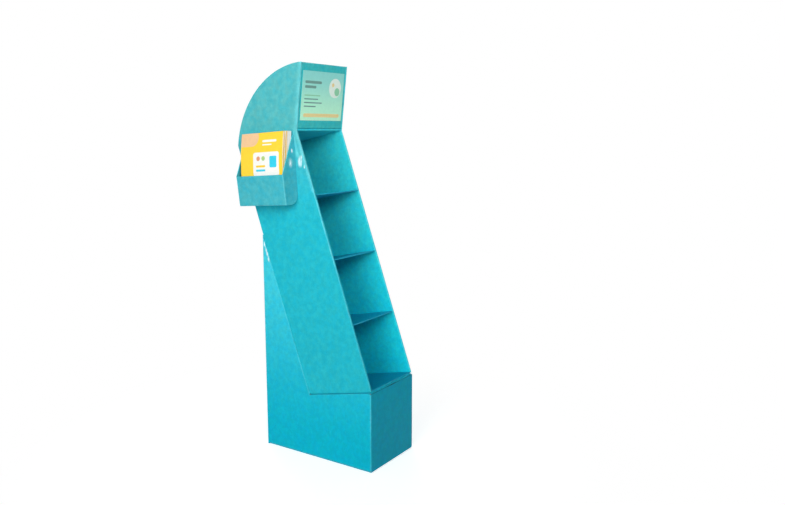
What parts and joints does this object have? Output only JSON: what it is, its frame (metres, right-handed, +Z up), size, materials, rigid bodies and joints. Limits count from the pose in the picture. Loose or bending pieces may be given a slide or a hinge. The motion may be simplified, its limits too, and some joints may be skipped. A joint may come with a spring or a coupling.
{
  "type": "cardboard display stand",
  "caption": "Tall corrugated-board floor display with a leaning tray of sloping shelves on a box base, a curved head with a header card and a side pocket for leaflets.",
  "frame": {"origin": "on the floor, in the middle of the base's footprint", "axes": "+Z up, +Y from the open front towards the back, +X to the right as seen from the front; the leaflet pocket is on the -X side"},
  "size_m": [0.3732, 0.6524, 1.553],
  "materials": {
    "base_board": "printed, satin",
    "tray_board": "printed, satin",
    "shelf_board": "printed, satin",
    "hood_board": "printed, satin",
    "header_card": "printed, semi-gloss",
    "pocket_board": "printed, satin",
    "support_board": "unprinted kraft",
    "booklet": "printed, semi-gloss"
  },
  "bodies": {
    "root": {"base": "base_board", "tray": "tray_board", "shelf_1": "shelf_board", "shelf_2": "shelf_board", "shelf_3": "shelf_board", "shelf_4": "shelf_board", "ceiling": "shelf_board", "hood": "hood_board", "header_card": "header_card", "leaflet_pocket": "pocket_board", "support_long": "support_board", "support_cross_front": "support_board", "support_cross_back": "support_board", "booklet_1": "booklet", "booklet_2": "booklet", "booklet_3": "booklet", "booklet_4": "booklet", "booklet_5": "booklet"}
  },
  "joints": []
}
